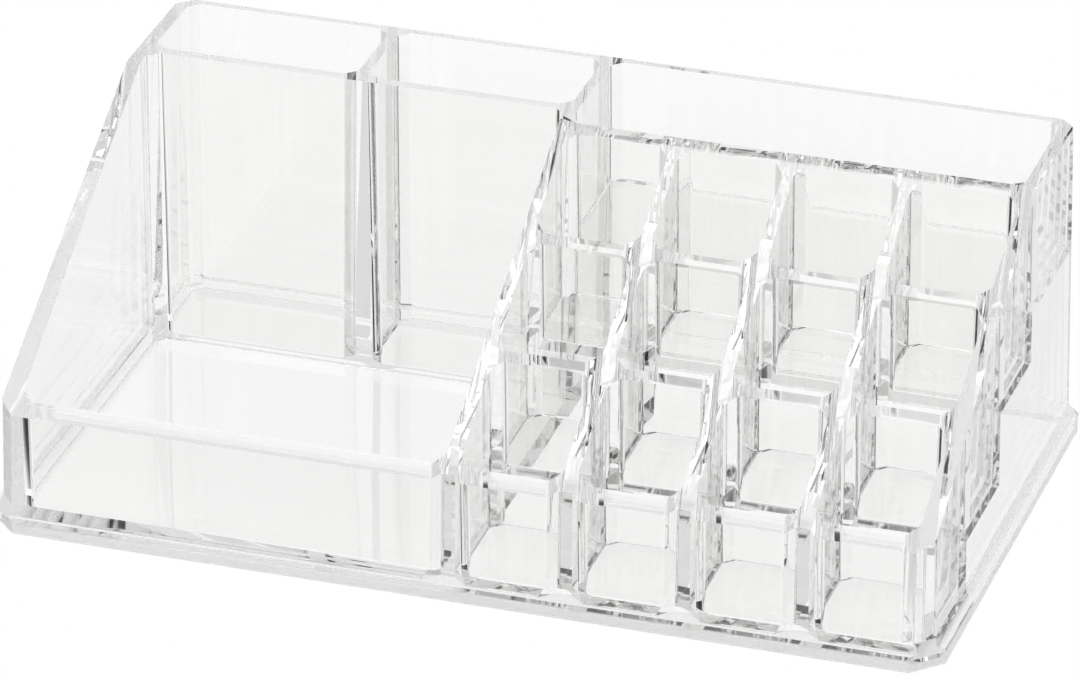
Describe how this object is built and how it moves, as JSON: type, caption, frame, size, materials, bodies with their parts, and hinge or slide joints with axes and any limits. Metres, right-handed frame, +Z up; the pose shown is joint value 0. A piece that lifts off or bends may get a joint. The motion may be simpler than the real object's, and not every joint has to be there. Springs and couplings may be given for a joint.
{
  "type": "desktop organizer",
  "caption": "Clear moulded desk organizer with an open front tray, two tall rear bins, stepped rows of small upright cells and a long rear trough, all cut by one slope.",
  "frame": {"origin": "centre of the underside of the foot plate", "axes": "+X to the right as seen from the low front, +Y to the tall back, +Z up"},
  "size_m": [0.225, 0.13, 0.078],
  "materials": {
    "clear_plastic": "clear, glossy moulded plastic"
  },
  "bodies": {
    "root": {"base_plate": "clear_plastic", "front_wall": "clear_plastic", "back_wall": "clear_plastic", "left_side_wall": "clear_plastic", "right_side_wall": "clear_plastic", "bin_front_wall": "clear_plastic", "bin_divider": "clear_plastic", "block_wall": "clear_plastic", "cross_wall_1": "clear_plastic", "cross_wall_2": "clear_plastic", "cross_wall_3": "clear_plastic", "middle_row_floor": "clear_plastic", "back_row_floor": "clear_plastic", "trough_floor": "clear_plastic", "front_row_divider_1": "clear_plastic", "front_row_divider_2": "clear_plastic", "front_row_divider_3": "clear_plastic", "middle_row_divider_1": "clear_plastic", "middle_row_divider_2": "clear_plastic", "middle_row_divider_3": "clear_plastic", "back_row_divider_1": "clear_plastic", "back_row_divider_2": "clear_plastic", "back_row_divider_3": "clear_plastic"}
  },
  "joints": []
}
